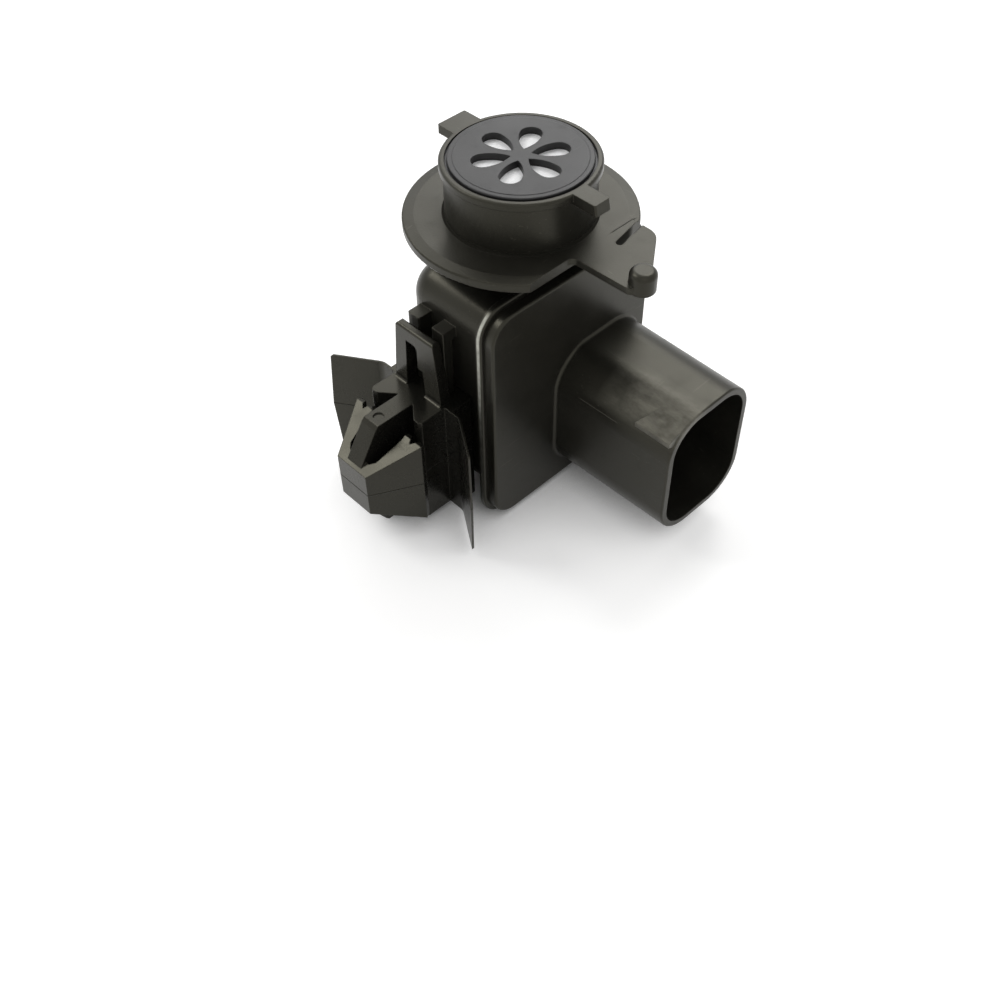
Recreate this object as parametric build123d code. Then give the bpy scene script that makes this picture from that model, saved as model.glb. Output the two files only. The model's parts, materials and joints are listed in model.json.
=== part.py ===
from build123d import *
import os
from math import cos, radians, sin

# Frame: nose axis is +Z, origin on that axis at the flange's seating face, socket faces +X, clip faces -Y.
# All sizes are millimetres.

# Nose collar, flange and detent arm
flange_radius = 20.1
flange_thick = 1.9
flange_cut_x = 15.2
collar_radius = 12.85
collar_height = 10.0
rim_radius = 13.5
rim_height = 1.3
rim_round = 0.5
cap_recess_radius = 12.5
cap_ledge_z = 7.95
bore_radius = 10.9
lower_bore_radius = 9.2
board_shelf_z = -0.5
neck_radius = 10.9
root_fillet = 0.25
lug_top_z = 10.0
wide_lug = (3.1, 16.7, 1.6)
narrow_lug = (1.7, 17.9, 1.9)
narrow_lug_draft = 0.4
flange_band = 2.0
flange_band_drop = 0.25
arm_thick = 1.2
arm_outline = [
    (14.0, -6.0),
    (15.2, -6.0),
    (15.2, -3.5),
    (27.0, -3.2),
    (29.5, -0.9),
    (20.7, 10.9),
    (14.0, 10.9),
]
arm_inner_round = 1.2
arm_corner_round = 1.5
arm_far_round = 3.5
slit_line = ((18.05, 4.7), (16.5, 13.0))
slit_width = 1.35
plate_cut_y = 4.6
knob_centre = (27.4, -0.3)
knob_radius = 2.3
knob_round = 1.0
knob_top_z = 2.4
knob_bottom_z = -1.6

# Housing box and its front lip
box_back_x = -11.0
box_half_y = 17.2
box_half_z = 21.7
body_mid_z = -30.2
wall = 1.5
box_corner = 5.5
lip_back_x = 9.8
lip_front_x = 11.0
lip_half_y = 20.3
lip_half_z = 24.7
lip_corner = 5.5
rest_width = 1.3
rest_back_x = -7.0
rest_z = (-18.0, -42.0)

# Guide rails for the clip, on the -Y wall
rail_mid_x = -2.9
rail_inner = 1.6
rail_outer = 4.45
rail_front_y = -20.2
rail_groove_y = -18.4
rail_groove_depth = 1.2
rail_top_z = -14.6
rail_stop = 2.2
rail_bottom_z = -50.0
tooth_half_x = 0.8
tooth_front_y = -20.75

# Front cover and connector shroud
cover_front_x = 13.1
cover_half_y = 19.5
cover_half_z = 23.6
cover_corner = 4.9
seal_depth = 0.9
seal_inset = (1.3, 2.5)
skirt_half_y = 15.6
skirt_half_z = 20.1
skirt_wall = 1.2
skirt_back_x = 6.8
shroud_mouth_x = 39.4
shroud_size = (21.4, 27.6)
shroud_corner = 7.6
shroud_mid = (6.9, -37.0)
shroud_draft = 0.35
shroud_wall = 1.3
socket_floor_x = 14.0
rib_front_x = 30.0
key_back_x = 31.35
key_front_x = 39.1

# Grille cap and the membrane held under it
petal_count = 6
petal_tip = (1.75, 0.0)
petal_waist = (3.9, 1.42)
petal_shoulder = (6.3, 1.9)
petal_end = (8.35, 0.0)
membrane_radius = 12.2
membrane_z = 8.75
cap_bottom_z = 9.05
cap_step_z = 9.55
cap_face_radius = 12.05
cap_top_z = 10.25
cap_centre_radius = 11.2
cap_centre_rise = 0.08

# Boards, terminals and the sensing element
board_x = (5.2, 6.8)
board_half_y = 15.3
board_half_z = 19.8
terminal_pitch = 5.0
blade = (2.8, 0.8)
blade_tip_x = 30.0
blade_root_x = 9.4
terminal_pin = 1.0
terminal_pin_x = 3.8
link_x = 3.9
link_pitch = 2.54
link_half = 0.32
link_pin_z = (-17.0, 2.2)
sensor_mid_x = -2.6
sensor_board_radius = 10.7
sensor_board_thick = 1.2
lead_radius = 0.25
lead_circle = 2.2
can_radius = 4.1
can_flange_radius = 4.6
can_top_z = 6.3
can_opening = 2.5

# Snap-in clip, symmetric about its own middle planes
clip_mid_z = -40.9
clip_half_z = 12.3
clip_front_y = -22.6
clip_half_x = 8.2
clip_lip_half_x = 3.45
plate_top_z = -15.45
plate_y = (-22.9, -21.2, -20.45)
plate_foot_round = 0.6
plate_half_x = (4.7, 6.1)
window_outline = [(-2.9, -0.3), (-2.3, 10.4), (0.45, 10.4), (0.45, 5.5), (1.65, 5.5), (2.0, -0.3)]
prong_outline = [(0, -21), (6.6, -21), (6.6, -27.9), (6.1, -28.5), (4.9, -28.4), (2.0, -26.0), (0, -26.0)]
tip_y = -39.4
tip_half = (3.85, 4.8)
barb_rear_y = -30.2
barb_half = (8.7, 9.4)
barb_plan = [
    (2.6, -37.3),
    (3.5, -36.4),
    (4.5, -31.0),
    (4.3, -29.0),
    (5.2, -29.0),
    (6.3, -30.9),
    (7.0, -30.3),
    (7.3, -29.3),
    (10.0, -29.3),
    (10.0, -41.0),
    (0.0, -41.0),
    (0.0, -37.3),
]
web_half_x = 1.85
dimple_radius = 1.0
dimple_y = -32.2
nub_radius = 1.1
nub_place = (-36.75, -7.6)
wing_root = (7.4, -22.42)
wing_bend = (10.2, -22.42)
wing_tip = (18.5, -27.85)
wing_mid_half_x = 19.2
wing_thick = 0.42


def slab(x0, x1, half_y, half_z, corner, mid=(0.0, body_mid_z)):
    """Rounded rectangle standing across X, from x0 to x1."""
    outline = Pos(mid[0], mid[1]) * RectangleRounded(2 * half_y, 2 * half_z, corner)
    return extrude(Plane.YZ.offset(x0) * outline, amount=x1 - x0)


def disc(radius, z0, z1, x=0.0, y=0.0):
    return Pos(x, y, z0) * Cylinder(radius, z1 - z0, align=(Align.CENTER, Align.CENTER, Align.MIN))


def block(x0, x1, y0, y1, z0, z1):
    low = (Align.MIN, Align.MIN, Align.MIN)
    return Pos(x0, y0, z0) * Box(x1 - x0, y1 - y0, z1 - z0, align=low)


def edges_on(part, axis, value, tolerance=0.02):
    """Edges lying wholly in the plane where the coordinate has this value."""
    return part.edges().filter_by_position(axis, value - tolerance, value + tolerance)


def below(point):
    return (point[0], -point[1])


def petal(angle):
    """One teardrop opening of the grille, pointed toward the centre."""
    upper = ThreePointArc(petal_tip, petal_waist, petal_shoulder)
    outer = ThreePointArc(petal_shoulder, petal_end, below(petal_shoulder))
    lower = ThreePointArc(below(petal_shoulder), below(petal_waist), petal_tip)
    return Rot(0, 0, angle) * make_face(Wire([upper, outer, lower]))


def collar():
    """Nose tube with an overhanging rim and two unequal bayonet lugs."""
    rim = disc(rim_radius, collar_height - rim_height, collar_height)
    tube = disc(collar_radius, 0, collar_height) + fillet(edges_on(rim, Axis.Z, collar_height), rim_round)
    half_w, reach, thick = wide_lug
    left = block(-reach, -11.5, -half_w, half_w, lug_top_z - thick, lug_top_z)
    left = fillet(left.edges().filter_by(Axis.Z).group_by(Axis.X)[0], 0.3)
    half_w, reach, thick = narrow_lug
    low_z = lug_top_z - thick
    end = Polyline((11.5, low_z), (reach + narrow_lug_draft, low_z), (reach, lug_top_z), (11.5, lug_top_z),
                   close=True)
    right = extrude(Plane.XZ * make_face(end), amount=half_w, both=True)
    upright = right.edges().filter_by(lambda e: e.center().X > reach and abs(e.center().Y) > half_w - 0.01)
    right = fillet(upright, 0.3)
    return tube + left + right


def flange():
    """Seating flange with the cut-out and the springy detent arm."""
    plate = disc(flange_radius, -flange_thick, -flange_band_drop)
    plate = fillet(plate.edges().filter_by(GeomType.CIRCLE), 0.3)
    inner = flange_radius - flange_band
    plate += Pos(0, 0, -flange_band_drop / 2) * Cone(flange_radius - 0.3, inner, flange_band_drop)
    plate -= block(flange_cut_x, 25, -25, plate_cut_y, -5, 5)
    arm_face = make_face(Polyline(*arm_outline, close=True))
    arm_face = fillet(arm_face.vertices().filter_by_position(Axis.X, 26, 30), arm_corner_round)
    arm_face = fillet(arm_face.vertices().filter_by_position(Axis.X, 20.6, 20.8), arm_far_round)
    inner_corner = arm_face.vertices().filter_by_position(Axis.Y, -3.6, -3.4).sort_by(Axis.X)[:1]
    arm_face = fillet(inner_corner, arm_inner_round)
    arm = extrude(Pos(0, 0, -arm_thick) * arm_face, amount=arm_thick)
    knob = disc(knob_radius, knob_bottom_z, knob_top_z, *knob_centre)
    knob = fillet(edges_on(knob, Axis.Z, knob_top_z), knob_round)
    knob = fillet(edges_on(knob, Axis.Z, knob_bottom_z), 0.4)
    slit = trace(Line(*slit_line), slit_width) + Pos(*slit_line[0]) * Circle(slit_width / 2)
    return plate + arm - extrude(Pos(0, 0, -3) * slit, amount=4) + knob


def rails():
    """Two grooved rails that the clip slides over, and the tooth that locks it."""
    outline = [
        (rail_inner, rail_front_y),
        (rail_outer, rail_front_y),
        (rail_outer, rail_groove_y),
        (rail_outer - rail_groove_depth, rail_groove_y),
        (rail_outer - rail_groove_depth, -16.5),
        (rail_inner, -16.5),
    ]
    face = make_face(Polyline(*outline, close=True))
    rail = extrude(Pos(0, 0, rail_bottom_z) * face, amount=rail_top_z - rail_bottom_z)
    rail += block(rail_inner, rail_outer, rail_front_y, -16.5, rail_top_z - rail_stop, rail_top_z)
    front = rail.edges().filter_by(Axis.Z).group_by(Axis.Y)[0]
    rail = fillet(front, 0.25)
    pair = rail + mirror(rail, Plane.YZ)
    low_z = clip_mid_z + clip_half_z
    tooth_side = Polyline((-16.5, low_z), (tooth_front_y, low_z), (tooth_front_y, low_z + 0.8),
                          (-19.2, low_z + 3.6), (-16.5, low_z + 3.6), close=True)
    tooth = extrude(Plane.YZ * make_face(tooth_side), amount=tooth_half_x, both=True)
    return Pos(rail_mid_x, 0, 0) * (pair + tooth)


def housing():
    """One moulding: box, front lip, neck, flange, collar and rails."""
    box = slab(box_back_x, lip_front_x - 0.2, box_half_y, box_half_z, box_corner)
    box = fillet(edges_on(box, Axis.X, box_back_x), 4.0)
    lip = slab(lip_back_x, lip_front_x, lip_half_y, lip_half_z, lip_corner)
    lip = fillet(edges_on(lip, Axis.X, lip_front_x), 0.45)
    neck = disc(neck_radius, body_mid_z + box_half_z - 2, -flange_thick + 0.2)
    body = box + lip + neck + flange() + collar() + rails()
    inner_corner = box_corner - wall
    room = slab(box_back_x + wall, lip_front_x, box_half_y - wall, box_half_z - wall, inner_corner)
    room = fillet(edges_on(room, Axis.X, box_back_x + wall), 2.5)
    body -= room
    body -= disc(lower_bore_radius, body_mid_z + box_half_z - 3, board_shelf_z)
    body -= disc(bore_radius, board_shelf_z, collar_height)
    body -= disc(cap_recess_radius, cap_ledge_z, collar_height)
    for side in (-1, 1):
        for z in rest_z:
            y_in = side * (box_half_y - wall - 1.4)
            y_out = side * (box_half_y - 0.5)
            rest = block(rest_back_x, board_x[0], min(y_in, y_out), max(y_in, y_out), z - rest_width, z)
            body += rest
    root = body.edges().filter_by(GeomType.CIRCLE).filter_by_position(Axis.Z, -0.02, 0.02)
    root = root.filter_by(lambda e: abs(e.radius - collar_radius) < 0.01)
    return fillet(root, root_fillet)


def shroud_face(x, grow):
    half = RectangleRounded(shroud_size[0] + 2 * grow, shroud_size[1] + 2 * grow, shroud_corner + grow)
    return Plane.YZ.offset(x) * (Pos(*shroud_mid) * half)


def terminal_places():
    return [shroud_mid[0] + k * terminal_pitch for k in (-1, 0, 1)]


def front_cover():
    """Cover plate with its locating skirt, seal groove and the connector shroud."""
    plate = slab(lip_front_x, cover_front_x, cover_half_y, cover_half_z, cover_corner)
    plate = fillet(edges_on(plate, Axis.X, cover_front_x), 0.5)
    skirt = slab(skirt_back_x, lip_front_x, skirt_half_y, skirt_half_z, 3.9)
    skirt -= slab(skirt_back_x, lip_front_x, skirt_half_y - skirt_wall, skirt_half_z - skirt_wall, 2.7)
    tube = loft([shroud_face(cover_front_x - 0.5, shroud_draft), shroud_face(shroud_mouth_x, 0)])
    tube = fillet(edges_on(tube, Axis.X, shroud_mouth_x), 0.35)
    body = plate + tube
    foot = edges_on(body, Axis.X, cover_front_x).filter_by_position(Axis.Y, -4.6, 18.4)
    foot = foot.filter_by_position(Axis.Z, -51.6, -22.4)
    body = fillet(foot, 0.6)
    low_y = shroud_mid[0] - shroud_size[0] / 2
    top_z = shroud_mid[1] + shroud_size[1] / 2
    key_side = Polyline((low_y + 4.9, top_z - 0.5), (low_y - 0.15, top_z - 2.4), (low_y - 0.15, top_z - 3.3),
                        (low_y + 1.4, top_z - 3.9), (low_y + 4.9, top_z - 3.0), close=True)
    key = extrude(Plane.YZ.offset(key_back_x) * make_face(key_side), amount=key_front_x - key_back_x)
    key_plan = Polyline((key_back_x, low_y - 0.5), (key_back_x + 2.6, low_y + 6), (key_front_x, low_y + 6),
                        (key_front_x, low_y - 0.5), close=True)
    body += key & extrude(Pos(0, 0, -30) * make_face(key_plan), amount=10)
    inner = shroud_draft - shroud_wall
    body -= loft([shroud_face(socket_floor_x, inner), shroud_face(shroud_mouth_x, -shroud_wall)])
    island = slab(socket_floor_x - 0.5, socket_floor_x + 3.0, 8.2, 2.6, 1.0, shroud_mid)
    body += island + skirt
    for y in terminal_places():
        body -= block(lip_front_x - 1, socket_floor_x + 4, y - blade[0] / 2, y + blade[0] / 2,
                      shroud_mid[1] - blade[1] / 2, shroud_mid[1] + blade[1] / 2)
    for side in (-1, 1):
        y_wall = shroud_mid[0] + side * (shroud_size[0] / 2 - shroud_wall)
        y_in = y_wall - side * 1.2
        rib = block(socket_floor_x, rib_front_x, min(y_wall, y_in) - 0.3, max(y_wall, y_in) + 0.3,
                    shroud_mid[1] - 0.8, shroud_mid[1] + 0.8)
        body += rib
    body -= cover_seal()
    return body


def cover_seal():
    """Soft ring let into the cover's back face, pressed on the housing lip."""
    x0 = lip_front_x
    x1 = lip_front_x + seal_depth
    out, inn = seal_inset
    ring = slab(x0, x1, cover_half_y - out, cover_half_z - out, cover_corner - out)
    return ring - slab(x0, x1, cover_half_y - inn, cover_half_z - inn, cover_corner - inn)


def grille_cap():
    """Round cap: a proud face inside a thin groove, six teardrop openings."""
    face = disc(cap_face_radius, cap_step_z, cap_top_z)
    face = fillet(edges_on(face, Axis.Z, cap_top_z), 0.15)
    centre = disc(cap_centre_radius, cap_top_z - 0.2, cap_top_z + cap_centre_rise)
    centre = fillet(edges_on(centre, Axis.Z, cap_top_z + cap_centre_rise), 0.06)
    cap = disc(cap_recess_radius, cap_bottom_z, cap_step_z) + face + centre
    for k in range(petal_count):
        cap -= extrude(Pos(0, 0, 8) * petal(360 / petal_count * k), amount=3)
    return cap


def filter_membrane():
    return disc(membrane_radius, membrane_z, cap_bottom_z)


def membrane_ring():
    ring = disc(12.4, cap_ledge_z, membrane_z) - disc(bore_radius, cap_ledge_z, membrane_z)
    return chamfer(edges_on(ring, Axis.Z, cap_ledge_z).sort_by(SortBy.RADIUS)[-1:], 0.25)


def main_board():
    """Board held between the housing rests and the cover skirt."""
    board = slab(board_x[0], board_x[1], board_half_y, board_half_z, 3.6)
    for y in terminal_places():
        board -= block(board_x[0], board_x[1], y - terminal_pin / 2, y + terminal_pin / 2,
                       shroud_mid[1] - blade[1] / 2, shroud_mid[1] + blade[1] / 2)
    return board


def terminal(y):
    """Flat blade in the socket, necked to a pin that passes through the board."""
    z0 = shroud_mid[1] - blade[1] / 2
    z1 = shroud_mid[1] + blade[1] / 2
    flat = block(blade_root_x, blade_tip_x, y - blade[0] / 2, y + blade[0] / 2, z0, z1)
    flat = chamfer(edges_on(flat, Axis.X, blade_tip_x), 0.3)
    pin = block(terminal_pin_x, blade_root_x, y - terminal_pin / 2, y + terminal_pin / 2, z0, z1)
    return flat + pin


def link_places():
    return [(k - 1.5) * link_pitch for k in range(4)]


def link_pin(y, z0, z1):
    return block(link_x - link_half, link_x + link_half, y - link_half, y + link_half, z0, z1)


def link_header():
    body = block(link_x - 1.3, board_x[0], -5.1, 5.1, -16.0, -13.5)
    body = chamfer(body.edges().filter_by(Axis.X), 0.35)
    for y in link_places():
        body -= link_pin(y, -17, -12)
    return body


def link_pins():
    pins = Part()
    for y in link_places():
        pins += link_pin(y, *link_pin_z)
    return pins


def sensor_board():
    """Round board on the shelf inside the nose."""
    z0 = board_shelf_z
    board = disc(sensor_board_radius, z0, z0 + sensor_board_thick)
    for y in link_places():
        board -= link_pin(y, z0, z0 + 2)
    for x, y in lead_places():
        board -= disc(lead_radius, z0, z0 + 2, x, y)
    return board


def lead_places():
    r = lead_circle
    return [(sensor_mid_x + r * cos(radians(a)), r * sin(radians(a))) for a in (45, 135, 225, 315)]


def sensor_base():
    z0 = board_shelf_z + sensor_board_thick
    base = disc(can_flange_radius, z0, z0 + 0.4, sensor_mid_x)
    base += disc(can_radius - 0.3, z0, z0 + 1.4, sensor_mid_x)
    for x, y in lead_places():
        base -= disc(lead_radius, z0 - 1, z0 + 2, x, y)
    return base


def sensor_leads():
    leads = Part()
    for x, y in lead_places():
        leads += disc(lead_radius, -2.4, 3.0, x, y)
    return leads


def sensing_element():
    """Heated ceramic chip carried on the four leads."""
    chip = Pos(sensor_mid_x, 0, 3.0) * Box(4.2, 4.2, 0.5, align=(Align.CENTER, Align.CENTER, Align.MIN))
    return chamfer(chip.edges().filter_by(Axis.Z), 0.4)


def sensor_can():
    """Drawn steel can with a round opening in the top."""
    z0 = board_shelf_z + sensor_board_thick + 0.4
    can = disc(can_flange_radius, z0, z0 + 0.3, sensor_mid_x) + disc(can_radius, z0, can_top_z, sensor_mid_x)
    can = fillet(edges_on(can, Axis.Z, can_top_z), 0.5)
    can -= disc(can_radius - 0.3, z0 - 1, can_top_z - 0.3, sensor_mid_x)
    return can - disc(can_opening, can_top_z - 1, can_top_z + 1, sensor_mid_x)


def sensor_mesh():
    return disc(can_radius - 0.4, can_top_z - 0.45, can_top_z - 0.3, sensor_mid_x)


def chip(y, z, size_y, size_z, height, bevel=0.2):
    """Flat component on the board's front face."""
    x0 = board_x[1]
    body = block(x0, x0 + height, y - size_y / 2, y + size_y / 2, z - size_z / 2, z + size_z / 2)
    return chamfer(edges_on(body, Axis.X, x0 + height), bevel)


def microcontroller():
    body = chip(-5.0, -24.0, 7.0, 7.0, 1.0)
    return body - Pos(board_x[1] + 1.0, -7.4, -21.6) * Rot(0, 90, 0) * Cylinder(0.4, 0.2)


def voltage_regulator():
    """Small power package: body, cooling tab and three legs."""
    body = chip(-8.5, -37.0, 3.5, 6.5, 1.6, 0.3)
    x0 = board_x[1]
    body += block(x0, x0 + 0.3, -12.0, -10.0, -38.5, -35.5)
    for k in (-1, 0, 1):
        body += block(x0, x0 + 0.3, -7.0, -5.4, -37.35 + 2.3 * k, -36.65 + 2.3 * k)
    return body


def supply_capacitor():
    """Aluminium can lying off the board's back face, on a square foot."""
    across = Pos(board_x[0] - 1.0, 7.0, -25.0) * Rot(0, -90, 0)
    can = across * Cylinder(3.15, 6.0, align=(Align.CENTER, Align.CENTER, Align.MIN))
    can = fillet(edges_on(can, Axis.X, board_x[0] - 7.0), 0.5)
    foot = block(board_x[0] - 1.0, board_x[0], 3.7, 10.3, -28.3, -21.7)
    foot = chamfer(foot.edges().filter_by(Axis.X).group_by(Axis.Z)[0], 0.8)
    return can + foot


def ceramic_capacitors():
    places = [(2.5, -20.0), (2.5, -24.0), (2.5, -28.0), (-11.0, -21.0), (-11.0, -26.0), (-2.0, -33.0)]
    parts = Part()
    for y, z in places:
        parts += chip(y, z, 1.6, 2.4, 0.9, 0.1)
    return parts


def chip_resistors():
    parts = Part()
    for k in range(5):
        parts += chip(6.5, -17.0 - 2.6 * k, 2.0, 1.25, 0.5, 0.08)
    for k in range(4):
        parts += chip(-9.0 + 3.2 * k, -44.0, 1.25, 2.0, 0.5, 0.08)
    return parts


def crystal():
    return chip(-5.0, -16.0, 5.0, 3.2, 0.9)


def protection_diode():
    return chip(11.0, -44.5, 2.6, 4.3, 2.2, 0.35)


def web():
    """Middle plate of the clip, drawn out to the insertion tip."""
    h = clip_half_z
    upper = [(clip_front_y + 1, h), (-33.9, h), (-34.6, h - 0.7), (tip_y + 0.5, tip_half[1])]
    lower = [(y, -z) for y, z in reversed(upper)]
    side = make_face(Polyline(*upper, (tip_y, tip_half[1]), (tip_y, -tip_half[1]), *lower, close=True))
    return extrude(Plane.YZ * side, amount=web_half_x, both=True)


def barbs():
    """Two spring arms joined at the tip; their toothed rear ends grip the panel edge."""
    ends = Plane.XZ.offset(-tip_y) * Rectangle(2 * tip_half[0], 2 * tip_half[1])
    rear = Plane.XZ.offset(-barb_rear_y) * Rectangle(2 * barb_half[0], 2 * barb_half[1])
    claw = Plane.XZ.offset(-barb_rear_y - 1.0) * Rectangle(2 * barb_half[0] - 0.8, 2 * barb_half[1] - 0.6)
    head = loft([ends, rear]) + loft([rear, claw])
    half = extrude(Pos(0, 0, -15) * make_face(Polyline(*barb_plan, close=True)), amount=30)
    return head & (half + mirror(half, Plane.YZ))


def wing():
    """Thin spring wing that presses on the panel around the hole; its root lies flat on the block."""
    stretch = 1.12
    far = [root + stretch * (tip - root) for root, tip in zip(wing_bend, wing_tip)]
    path = FilletPolyline(wing_root, wing_bend, tuple(far), radius=2.7)
    sheet = extrude(Pos(0, 0, -clip_half_z) * trace(path, wing_thick), amount=2 * clip_half_z)
    h = clip_half_z
    tip_x = wing_tip[0]
    side = make_face(Polyline((5, h), (tip_x - 0.2, h), (tip_x, h - 0.3), (wing_mid_half_x, 0),
                              (tip_x, -h + 0.3), (tip_x - 0.2, -h), (5, -h), close=True))
    return sheet & extrude(Plane.XZ.offset(15) * side, amount=20)


def latch_plate():
    """Upright tongue, thicker at its foot, with a stepped window for the housing tooth."""
    h = clip_half_z
    top = plate_top_z - clip_mid_z
    front_y, back_top_y, back_foot_y = plate_y
    r = plate_foot_round
    top_x, foot_x = plate_half_x
    face = make_face(Polyline((-foot_x, h - 1), (foot_x, h - 1), (top_x, top), (-top_x, top), close=True))
    face = fillet(face.vertices().group_by(Axis.Y)[-1], 0.5)
    window = make_face(Polyline(*[(x, h + z) for x, z in window_outline], close=True))
    window = fillet(window.vertices().group_by(Axis.Y)[-1].sort_by(Axis.X)[-1:], 1.0)
    plate = extrude(Plane.XZ.offset(20) * (face - window), amount=5)
    outline = Polyline((front_y - r, h), (front_y - r, h - 1), (back_foot_y, h - 1), (back_foot_y, h + 1.5),
                       (back_top_y, top), (front_y, top), (front_y, h + r))
    dip = 0.7071 * r
    foot = ThreePointArc((front_y, h + r), (front_y - r + dip, h + r - dip), (front_y - r, h))
    side = make_face(Wire(outline.edges() + foot.edges()))
    side = fillet(side.vertices().group_by(Axis.Y)[-1], 0.5)
    return plate & extrude(Plane.YZ * side, amount=8, both=True)


def base():
    """Block that wraps the rails, with the three-pointed stop in front of it."""
    h = clip_half_z
    hook = [
        (0, clip_front_y), (clip_half_x, clip_front_y), (clip_half_x, -17.35), (clip_lip_half_x, -17.35),
        (clip_lip_half_x, rail_groove_y), (rail_outer + 0.1, rail_groove_y), (rail_outer + 0.1, rail_front_y),
        (0, rail_front_y),
    ]
    half = extrude(Pos(0, 0, -h) * make_face(Polyline(*hook, close=True)), amount=2 * h)
    half = fillet(half.edges().filter_by(Axis.Z).group_by(Axis.X)[-1], 0.6)
    half += extrude(Pos(0, 0, -h) * make_face(Polyline(*prong_outline, close=True)), amount=2 * h)
    return half + mirror(half, Plane.YZ)


def mounting_clip():
    """One moulding: base block, latch plate, web, barbs and wings."""
    wings = wing() + mirror(wing(), Plane.YZ)
    body = base() + latch_plate() + web() + barbs() + wings
    body -= disc(dimple_radius, clip_half_z - 0.25, clip_half_z + 1, 0, dimple_y)
    body += Pos(0, *nub_place) * Sphere(nub_radius)
    return Pos(rail_mid_x, 0, clip_mid_z) * body


def save(name, shape):
    export_step(shape, f"parts/{name}.step")


os.makedirs("parts", exist_ok=True)
builders = {
    "housing": housing,
    "front_cover": front_cover,
    "cover_seal": cover_seal,
    "grille_cap": grille_cap,
    "filter_membrane": filter_membrane,
    "membrane_ring": membrane_ring,
    "mounting_clip": mounting_clip,
    "main_board": main_board,
    "sensor_board": sensor_board,
    "sensor_base": sensor_base,
    "sensor_leads": sensor_leads,
    "sensing_element": sensing_element,
    "sensor_can": sensor_can,
    "sensor_mesh": sensor_mesh,
    "link_header": link_header,
    "link_pins": link_pins,
    "microcontroller": microcontroller,
    "voltage_regulator": voltage_regulator,
    "supply_capacitor": supply_capacitor,
    "ceramic_capacitors": ceramic_capacitors,
    "chip_resistors": chip_resistors,
    "crystal": crystal,
    "protection_diode": protection_diode,
}
for name, build in builders.items():
    save(name, build())
for number, y in enumerate(terminal_places(), start=1):
    save(f"terminal_{number}", terminal(y))
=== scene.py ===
import json
from math import cos, radians, sin

import bpy
from mathutils import Matrix, Vector


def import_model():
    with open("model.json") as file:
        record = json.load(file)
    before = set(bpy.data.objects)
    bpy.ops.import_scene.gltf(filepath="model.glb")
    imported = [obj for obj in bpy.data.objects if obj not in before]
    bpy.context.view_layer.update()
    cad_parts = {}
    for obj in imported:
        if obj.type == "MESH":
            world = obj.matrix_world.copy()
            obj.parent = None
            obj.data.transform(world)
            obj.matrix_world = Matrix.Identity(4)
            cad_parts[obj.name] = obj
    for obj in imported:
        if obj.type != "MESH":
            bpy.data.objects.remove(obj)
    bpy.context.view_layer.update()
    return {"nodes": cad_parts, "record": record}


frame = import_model()

# Photograph's frame and the camera that took it, in millimetres and degrees about the part's origin
IMAGE = 1000
FOCAL_PX = 1196.2
AZIMUTH = 46.61
ELEVATION = 48.74
ROLL = -1.064
ORIGIN_PX = (520.9, 208.4)
ORIGIN_DEPTH = 200.94
SENSOR_MM = 36.0

# Light: the even room's level, then each lamp's place in metres, its size in metres and its power in watts
WORLD_LEVEL = 0.40
LAMP_TARGET = (0.0, 0.0, -0.03)
LAMPS = {
    "back_softbox": ((-0.20, 0.54, 0.72), 0.31, 2.16),
    "back_left_softbox": ((-0.47, 0.65, 0.58), 0.50, 1.68),
    "left_softbox": ((-0.71, 0.35, 0.60), 0.42, 0.64),
    "upper_left_softbox": ((-0.59, 0.04, 0.79), 0.40, 0.72),
    "front_left_softbox": ((-0.57, -0.35, 0.70), 0.36, 2.48),
    "camera_side_fill": ((0.52, -0.38, 0.62), 0.60, 0.6),
}

# Floor, in metres: how far a covered place reaches, what share of cover fades the lift, where it is white again
FLOOR_Z = -0.0549
FLOOR_HALF = 3.0
FLOOR_COLOUR = (0.80, 0.797, 0.79, 1.0)
FLOOR_LIFT = 0.48
FLOOR_SHADE_REACH = 0.045
FLOOR_OPEN_FROM_TO = (0.12, 0.52)
FLOOR_WHITE_FROM_TO = (0.30, 0.90)

# Colours of the plastics, of the painted highlight on the lip and the pale streaks with painted sheen on the shroud,
# and the tint of their gloss
BLACK = (0.0125, 0.0120, 0.0098)
CLIP_BLACK = (0.0085, 0.0082, 0.0068)
CAP_BLACK = (0.019, 0.0188, 0.0188)
HAZE_AND_SHEEN = (0.175, 0.168, 0.140, 1.0)
LIP_PAINTED_HIGHLIGHT = (0.62, 0.62, 0.55, 1.0)
WARM = (1.0, 0.955, 0.75, 1.0)

# Places on the part, in metres: the housing's front lip, where a highlight is painted, and the part of it where that
# painted highlight fades
LIP_X = (0.0101, 0.0107)
LIP_Z = (-0.0600, -0.0065)
LIP_FADE_Z = (-0.0280, -0.0120)
# The shroud's upper corner on the clip side: where the pale streaks and painted sheen lie, and where they come in
# along the shroud
HAZE_AND_SHEEN_Z = (-0.0268, -0.0220)
HAZE_AND_SHEEN_Y = (-0.0060, 0.0040)
HAZE_AND_SHEEN_FADE_X = (0.0215, 0.0285)
# The collar's root: the radius where its painted shade ends, and its height
ROOT_RADIUS = (0.0132, 0.0134)
ROOT_Z = (-0.0001, 0.0004)
# The arm's slit, where shade is painted: the unit direction across it, how far along that it lies, and its half
# width, inner and outer
SLIT_ACROSS = (0.9830, 0.1836, 0.0)
SLIT_PLACE = 0.0186
SLIT_HALF = (0.0007, 0.0009)
SLIT_X = (0.0150, 0.0200)
SLIT_Y = (0.0043, 0.0088)
SLIT_Z = (-0.0030, -0.0001)
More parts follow.
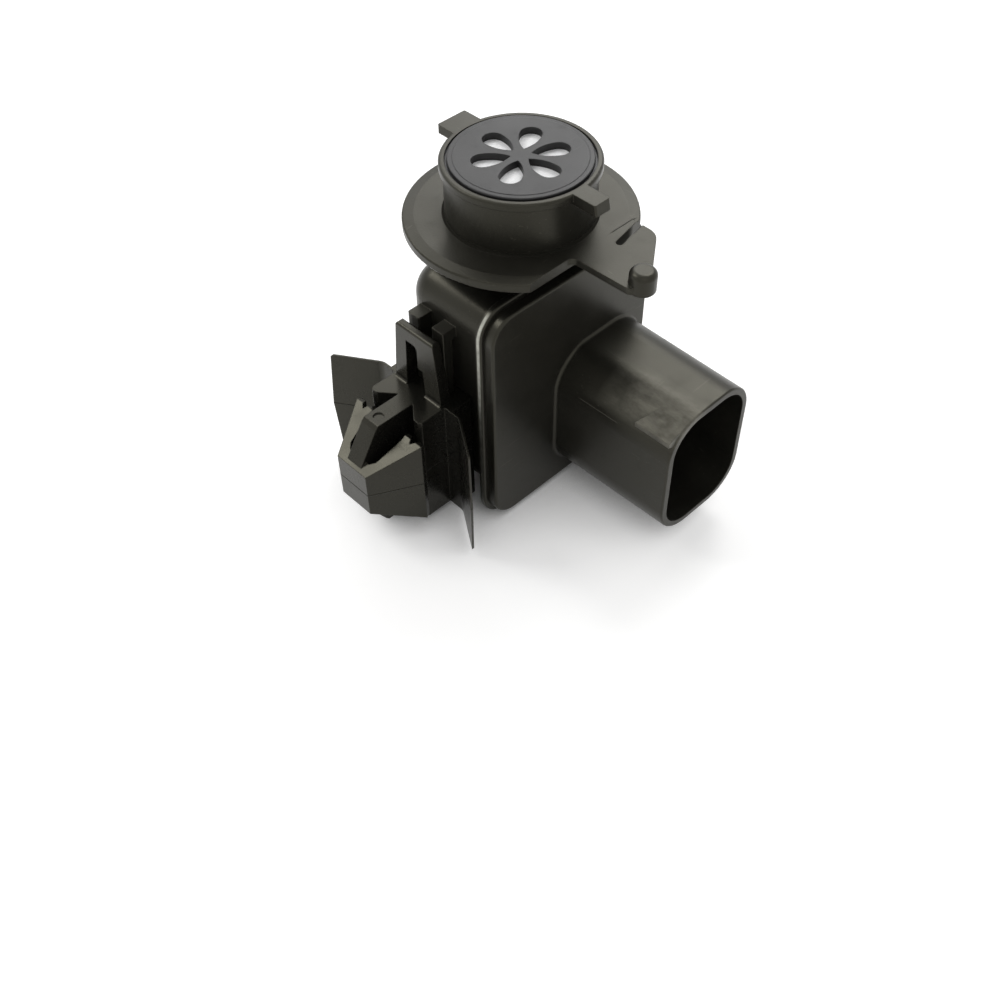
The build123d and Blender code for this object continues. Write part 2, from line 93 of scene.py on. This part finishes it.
# Parting lines: axis, place, half width, tone, dullness, and the stretches that each keeps to
SHROUD_SEAM = ("Z", -0.0288, 0.00013, 6.0, 0.1, [("X", 0.0185, 0.0273), ("Y", -0.006, -0.0028)])
ARM_CREASE = ("X", 0.0153, 0.00012, 0.6, 0.2, [("Y", 0.0058, 0.0115), ("Z", -0.0004, 0.0005)])
CLIP_SEAM = ("Z", -0.0409, 0.00018, 0.2, 0.7, [])


def camera():
    az, el, roll = radians(AZIMUTH), radians(ELEVATION), radians(ROLL)
    back = Vector((sin(az) * cos(el), -cos(az) * cos(el), sin(el)))
    right = (-back).cross(Vector((0, 0, 1))).normalized()
    up = right.cross(-back)
    across = cos(roll) * right + sin(roll) * up
    above = cos(roll) * up - sin(roll) * right
    mm_per_px = ORIGIN_DEPTH / FOCAL_PX
    x = (ORIGIN_PX[0] - IMAGE / 2) * mm_per_px
    y = (IMAGE / 2 - ORIGIN_PX[1]) * mm_per_px
    place = (back * ORIGIN_DEPTH - across * x - above * y) / 1000
    data = bpy.data.cameras.new("photo_camera")
    data.sensor_width = SENSOR_MM
    data.lens = FOCAL_PX * SENSOR_MM / IMAGE
    data.clip_start, data.clip_end = 0.01, 20
    obj = bpy.data.objects.new("photo_camera", data)
    turn = Matrix((across, above, back)).transposed().to_4x4()
    obj.matrix_world = Matrix.Translation(place) @ turn
    bpy.context.collection.objects.link(obj)
    bpy.context.scene.camera = obj


def tree(material):
    material.use_nodes = True
    nt = material.node_tree
    nt.nodes.clear()
    return nt


def add(nt, kind, inputs=None, **settings):
    """One node, with settings on it and values or links on its inputs."""
    node = nt.nodes.new(kind)
    for key, value in settings.items():
        setattr(node, key, value)
    for key, value in (inputs or {}).items():
        if isinstance(value, bpy.types.NodeSocket):
            nt.links.new(value, node.inputs[key])
        else:
            node.inputs[key].default_value = value
    return node


def combine(nt, operation, first, second, clamp=False):
    """Two values put together by a Math node; either may be a link or a number."""
    return add(nt, "ShaderNodeMath", {0: first, 1: second}, operation=operation, use_clamp=clamp).outputs[0]


def stretched(nt, where, factors):
    """The coordinates multiplied axis by axis, so that a pattern on them draws out."""
    return add(nt, "ShaderNodeVectorMath", {0: where, 1: factors}, operation="MULTIPLY").outputs[0]


def along_axis(nt, where, axis):
    return add(nt, "ShaderNodeSeparateXYZ", {0: where}).outputs["XYZ".index(axis)]


def noise(nt, where, scale, detail=3.0, rough=0.55):
    found = add(nt, "ShaderNodeTexNoise", {"Vector": where, "Scale": scale, "Detail": detail, "Roughness": rough})
    return found.outputs["Fac"]


def span(nt, value, low, high, to_low, to_high):
    """A value's range carried to another, clamped at both ends."""
    made = add(nt, "ShaderNodeMapRange", {"Value": value, "From Min": low, "From Max": high,
                                          "To Min": to_low, "To Max": to_high})
    return made.outputs["Result"]


def blend(nt, factor, first, second):
    made = add(nt, "ShaderNodeMix", {"Factor": factor}, data_type="RGBA")
    for socket, value in ((made.inputs[6], first), (made.inputs[7], second)):
        if isinstance(value, bpy.types.NodeSocket):
            nt.links.new(value, socket)
        else:
            socket.default_value = value
    return made.outputs[2]


def shade(colour, factor):
    return tuple(min(1.0, c * factor) for c in colour[:3]) + (1.0,)


def edge_mask(nt, radius):
    """Normal rounded near sharp edges, and a mask that is 1 on them."""
    bevel = add(nt, "ShaderNodeBevel", {"Radius": radius}, samples=4)
    flat = add(nt, "ShaderNodeNewGeometry")
    dot = add(nt, "ShaderNodeVectorMath", {0: bevel.outputs["Normal"], 1: flat.outputs["Normal"]},
              operation="DOT_PRODUCT")
    return bevel.outputs["Normal"], span(nt, dot.outputs["Value"], 0.99, 0.86, 0.0, 1.0)


def band(nt, where, axis, place, half):
    """1 where the coordinate is at place, falling to 0 at half away from it."""
    off = combine(nt, "SUBTRACT", along_axis(nt, where, axis), place)
    off = add(nt, "ShaderNodeMath", {0: off}, operation="ABSOLUTE").outputs[0]
    return span(nt, off, 0.0, half, 1.0, 0.0)


def inside(nt, where, axis, low, high, soft=0.0004):
    """1 between two places on an axis, with soft ends."""
    value = along_axis(nt, where, axis)
    start = span(nt, value, low - soft, low + soft, 0.0, 1.0)
    end = span(nt, value, high - soft, high + soft, 1.0, 0.0)
    return combine(nt, "MULTIPLY", start, end)


def product(nt, values):
    """All values multiplied; the first is a link."""
    made = values[0]
    for value in values[1:]:
        made = combine(nt, "MULTIPLY", made, value)
    return made


def scratches(nt, where):
    """Sparse fine handling scratches running two ways, gathered in patches."""
    made = []
    for stretch, level in (((1.0, 0.06, 1.0), 0.70), ((0.10, 1.0, 0.9), 0.72)):
        lined = stretched(nt, where, stretch)
        made.append(span(nt, noise(nt, lined, 1700.0, 1.0), level, level + 0.03, 0.0, 1.0))
    both = combine(nt, "MAXIMUM", *made)
    return product(nt, [both, span(nt, noise(nt, where, 130.0, 2.0), 0.50, 0.60, 0.0, 1.0)])


def painted_lip_highlight(nt, where):
    """Painted highlight on the housing's front lip, along its upper corner and side, fainter lower down."""
    fade = span(nt, along_axis(nt, where, "Z"), *LIP_FADE_Z, 0.15, 1.0)
    highlight_patches = span(nt, noise(nt, where, 700.0, 3.0), 0.30, 0.60, 0.55, 1.0)
    under_flange = inside(nt, where, "Z", *LIP_Z)
    return product(nt, [inside(nt, where, "X", *LIP_X, 0.0001), under_flange, fade, highlight_patches])


def haze_and_painted_sheen(nt, where):
    """The shroud's upper corner on its clip side turns pale in streaks and clouds, partly from rubbing and partly a
    painted sheen of its rounded corner.
    """
    round_corner = product(nt, [inside(nt, where, "Z", *HAZE_AND_SHEEN_Z, 0.0014), inside(nt, where, "Y", *HAZE_AND_SHEEN_Y, 0.0022)])
    along = span(nt, along_axis(nt, where, "X"), *HAZE_AND_SHEEN_FADE_X, 0.0, 1.0)
    drawn = stretched(nt, where, (0.35, 1.0, 1.0))
    streaks = span(nt, noise(nt, drawn, 900.0, 4.0, 0.65), 0.35, 0.65, 0.60, 1.0)
    clouds = span(nt, noise(nt, where, 260.0, 3.0), 0.36, 0.56, 0.50, 1.0)
    return product(nt, [round_corner, along, streaks, clouds])


def shaded_matt_corners(nt, where):
    """Inner corners darkened with painted shade and made dull: round the collar's root and inside the arm's slit."""
    flat = stretched(nt, where, (1.0, 1.0, 0.0))
    out = add(nt, "ShaderNodeVectorMath", {0: flat}, operation="LENGTH").outputs["Value"]
    root = product(nt, [span(nt, out, *ROOT_RADIUS, 1.0, 0.0), inside(nt, where, "Z", *ROOT_Z, 0.0001)])
    turned = add(nt, "ShaderNodeVectorMath", {0: where, 1: SLIT_ACROSS}, operation="DOT_PRODUCT").outputs["Value"]
    inner, outer = SLIT_HALF
    start = span(nt, turned, SLIT_PLACE - outer, SLIT_PLACE - inner, 0.0, 1.0)
    end = span(nt, turned, SLIT_PLACE + inner, SLIT_PLACE + outer, 1.0, 0.0)
    slit = product(nt, [start, end, inside(nt, where, "Y", *SLIT_Y, 0.0012), inside(nt, where, "X", *SLIT_X),
                        inside(nt, where, "Z", *SLIT_Z, 0.0001)])
    return combine(nt, "MAXIMUM", root, slit)


def moulded(name, colour, rough, grain=2600.0, bump=0.05, edge=0.00022, edge_wear_and_sheen=1.6, specular=0.33,
            warm=(1.0, 1.0, 1.0, 1.0), seams=(), marked=0.5, lip=False, haze_and_sheen=False):
    """Injection-moulded plastic: spark-eroded grain, cloudy gloss, scuffed edges that are also lightened as a
    painted highlight, scratches and seams.

    A seam is a fine parting line: its axis, place, half width, tone and dullness, and the stretches it keeps to.
    """
    material = bpy.data.materials.new(name)
    nt = tree(material)
    where = add(nt, "ShaderNodeTexCoord").outputs["Object"]
    cloud = noise(nt, where, 90.0, 4.0)
    fine = noise(nt, where, grain, 2.0)
    scuff = noise(nt, where, 420.0, 5.0, 0.7)
    soft, on_edge = edge_mask(nt, edge)
    # Scuffed pale edges, lightened further as a painted highlight.
    worn_and_sheen_edges = combine(nt, "MULTIPLY", on_edge, span(nt, scuff, 0.42, 0.62, 0.15, 1.0))
    tint = blend(nt, span(nt, cloud, 0.35, 0.65, 0.0, 1.0), shade(colour, 0.85), shade(colour, 1.2))
    tint = blend(nt, worn_and_sheen_edges, tint, shade(colour, edge_wear_and_sheen * 1.5))
    marks = product(nt, [scratches(nt, where), marked])
    tint = blend(nt, marks, tint, shade(colour, 4.0))
    gloss = span(nt, cloud, 0.3, 0.7, rough - 0.05, rough + 0.06)
    gloss = combine(nt, "ADD", gloss, span(nt, scuff, 0.55, 0.8, 0.0, 0.10))
    if lip:
        # Painted shade in the inner corners, which are also made dull.
        shade_and_matt = shaded_matt_corners(nt, where)
        # Painted highlight on the lip's upper corner and side.
        tint = blend(nt, painted_lip_highlight(nt, where), tint, LIP_PAINTED_HIGHLIGHT)
        tint = blend(nt, shade_and_matt, tint, shade(colour, 0.3))
        gloss = combine(nt, "ADD", gloss, shade_and_matt, clamp=True)
    if haze_and_sheen:
        # Pale streaks and painted sheen on the shroud's corner.
        tint = blend(nt, haze_and_painted_sheen(nt, where), tint, HAZE_AND_SHEEN)
    height = combine(nt, "ADD", fine, scuff)
    relief = add(nt, "ShaderNodeBump", {"Strength": bump, "Distance": 0.0002, "Height": height, "Normal": soft})
    normal = relief.outputs["Normal"]
    for axis, place, half, tone, dull, stretches in seams:
        line = [band(nt, where, axis, place, half)] + [inside(nt, where, *stretch) for stretch in stretches]
        raised = product(nt, line)
        made = add(nt, "ShaderNodeBump", {"Strength": 0.7, "Distance": 0.00012, "Height": raised, "Normal": normal})
        normal = made.outputs["Normal"]
        tint = blend(nt, raised, tint, shade(colour, tone))
        flatter = span(nt, raised, 0.0, 1.0, 0.0, dull)
        gloss = combine(nt, "ADD", gloss, flatter, clamp=True)
    shader = add(nt, "ShaderNodeBsdfPrincipled", {
        "Base Color": tint, "Roughness": gloss, "Normal": normal, "IOR": 1.5,
        "Specular IOR Level": specular, "Specular Tint": warm})
    add(nt, "ShaderNodeOutputMaterial", {"Surface": shader.outputs[0]})
    return material


def metal(name, colour, rough, brush=(1.0, 1.0, 1.0), bump=0.04):
    """Drawn or plated metal with faint lines along one direction."""
    material = bpy.data.materials.new(name)
    nt = tree(material)
    where = add(nt, "ShaderNodeTexCoord").outputs["Object"]
    lined = stretched(nt, where, brush)
    lines = noise(nt, lined, 2200.0, 3.0)
    cloud = noise(nt, where, 300.0, 3.0)
    tint = blend(nt, span(nt, cloud, 0.35, 0.65, 0.0, 1.0), shade(colour, 0.86), shade(colour, 1.08))
    relief = add(nt, "ShaderNodeBump", {"Strength": bump, "Distance": 0.0001, "Height": lines})
    gloss = span(nt, lines, 0.3, 0.7, rough - 0.06, rough + 0.08)
    shader = add(nt, "ShaderNodeBsdfPrincipled", {
        "Base Color": tint, "Roughness": gloss, "Normal": relief.outputs["Normal"], "Metallic": 1.0})
    add(nt, "ShaderNodeOutputMaterial", {"Surface": shader.outputs[0]})
    return material


def fleece(name, colour):
    """Pressed fibre membrane: two crossed fibre patterns over soft lumps."""
    material = bpy.data.materials.new(name)
    nt = tree(material)
    where = add(nt, "ShaderNodeTexCoord").outputs["Object"]
    lumps = noise(nt, where, 1400.0, 4.0, 0.7)
    first = stretched(nt, where, (1.0, 0.18, 1.0))
    second = stretched(nt, where, (0.2, 1.0, 1.0))
    fibres = combine(nt, "MAXIMUM", noise(nt, first, 5200.0, 2.0), noise(nt, second, 5200.0, 2.0))
    tint = blend(nt, span(nt, fibres, 0.4, 0.7, 0.0, 1.0), shade(colour, 0.9), shade(colour, 1.04))
    height = combine(nt, "ADD", fibres, lumps)
    relief = add(nt, "ShaderNodeBump", {"Strength": 0.4, "Distance": 0.0001, "Height": height})
    shader = add(nt, "ShaderNodeBsdfPrincipled", {
        "Base Color": tint, "Roughness": span(nt, lumps, 0.3, 0.7, 0.8, 0.98),
        "Normal": relief.outputs["Normal"], "Sheen Weight": 0.2})
    add(nt, "ShaderNodeOutputMaterial", {"Surface": shader.outputs[0]})
    return material


def seen_directly(nt):
    """1 for rays from the camera and for those that gloss and glass send on."""
    path = add(nt, "ShaderNodeLightPath").outputs
    seen = path["Is Camera Ray"]
    for kind in ("Is Glossy Ray", "Is Transmission Ray"):
        seen = combine(nt, "MAXIMUM", seen, path[kind])
    return seen


def floor():
    """Plain pale floor. For the camera and reflections it is lifted towards white, less where the part covers it."""
    mesh = bpy.data.meshes.new("floor")
    h = FLOOR_HALF
    corners = [(-h, -h, FLOOR_Z), (h, -h, FLOOR_Z), (h, h, FLOOR_Z), (-h, h, FLOOR_Z)]
    mesh.from_pydata(corners, [], [(0, 1, 2, 3)])
    obj = bpy.data.objects.new("floor", mesh)
    bpy.context.collection.objects.link(obj)
    material = bpy.data.materials.new("floor_paper")
    nt = tree(material)
    where = add(nt, "ShaderNodeTexCoord").outputs["Object"]
    grain = noise(nt, where, 900.0, 3.0)
    relief = add(nt, "ShaderNodeBump", {"Strength": 0.05, "Distance": 0.0002, "Height": grain})
    paper = add(nt, "ShaderNodeBsdfDiffuse", {"Color": FLOOR_COLOUR, "Normal": relief.outputs["Normal"]})
    near = add(nt, "ShaderNodeAmbientOcclusion", {"Distance": FLOOR_SHADE_REACH}, samples=8)
    away = add(nt, "ShaderNodeVectorMath", {0: where}, operation="LENGTH").outputs["Value"]
    level = span(nt, away, *FLOOR_WHITE_FROM_TO, FLOOR_LIFT, 1.0)
    uncovered = span(nt, near.outputs["AO"], *FLOOR_OPEN_FROM_TO, 0.0, 1.0)
    lift = product(nt, [seen_directly(nt), uncovered, level])
    glow = add(nt, "ShaderNodeEmission", {"Color": (1, 1, 1, 1), "Strength": lift})
    both = add(nt, "ShaderNodeAddShader", {0: paper.outputs[0], 1: glow.outputs[0]})
    add(nt, "ShaderNodeOutputMaterial", {"Surface": both.outputs[0]})
    mesh.materials.append(material)


def lamp(name, place, size, power):
    """Round softbox that faces the part's middle."""
    data = bpy.data.lights.new(name, "AREA")
    data.shape = "DISK"
    data.size = size
    data.energy = power
    obj = bpy.data.objects.new(name, data)
    obj.location = place
    obj.rotation_mode = "QUATERNION"
    obj.rotation_quaternion = (Vector(LAMP_TARGET) - Vector(place)).to_track_quat("-Z", "Y")
    bpy.context.collection.objects.link(obj)


def world():
    """Even room; the camera, gloss and glass see plain white."""
    made = bpy.data.worlds.new("studio")
    bpy.context.scene.world = made
    made.use_nodes = True
    nt = made.node_tree
    nt.nodes.clear()
    level = span(nt, seen_directly(nt), 0.0, 1.0, WORLD_LEVEL, 1.0)
    back = add(nt, "ShaderNodeBackground", {"Color": (1, 1, 1, 1), "Strength": level})
    add(nt, "ShaderNodeOutputWorld", {"Surface": back.outputs[0]})


camera()
world()
for name, (place, size, power) in LAMPS.items():
    lamp(name, place, size, power)
floor()

materials = {
    "black_plastic": moulded("black_plastic", BLACK, 0.34, edge_wear_and_sheen=3.0, warm=WARM, seams=[SHROUD_SEAM], haze_and_sheen=True),
    "clip_plastic": moulded("clip_plastic", CLIP_BLACK, 0.26, 3400.0, 0.005, warm=WARM, seams=[CLIP_SEAM],
                            marked=0.08),
    "seal_rubber": moulded("seal_rubber", (0.03, 0.03, 0.03), 0.6),
    "membrane": fleece("membrane", (0.95, 0.95, 0.95)),
    "adhesive_foam": moulded("adhesive_foam", (0.6, 0.6, 0.57), 0.8, 1500.0, 0.3),
    "circuit_board": moulded("circuit_board", (0.015, 0.12, 0.05), 0.3, 900.0, 0.02),
    "sensor_metal": metal("sensor_metal", (0.6, 0.59, 0.56), 0.3),
    "tinned_metal": metal("tinned_metal", (0.7, 0.69, 0.66), 0.28, (0.08, 1.0, 1.0)),
    "header_plastic": moulded("header_plastic", (0.02, 0.02, 0.02), 0.45),
    "chip_plastic": moulded("chip_plastic", (0.025, 0.025, 0.025), 0.5, 3000.0, 0.08),
    "capacitor_can": metal("capacitor_can", (0.75, 0.75, 0.74), 0.25),
    "ceramic_chip": moulded("ceramic_chip", (0.5, 0.42, 0.32), 0.6),
}
slots = {row["node"]: row["material_slot"] for row in frame["record"]["subparts"]}
for node, obj in frame["nodes"].items():
    obj.data.materials.clear()
    obj.data.materials.append(materials[slots[node]])
cap_plastic = moulded("cap_plastic", CAP_BLACK, 0.40, 3000.0, 0.04, marked=0.2)
frame["nodes"]["grille_cap"].data.materials[0] = cap_plastic
housing_plastic = moulded("housing_plastic", BLACK, 0.34, edge_wear_and_sheen=3.0, warm=WARM, seams=[ARM_CREASE], lip=True)
frame["nodes"]["housing"].data.materials[0] = housing_plastic

bpy.context.scene.view_settings.view_transform = "Standard"
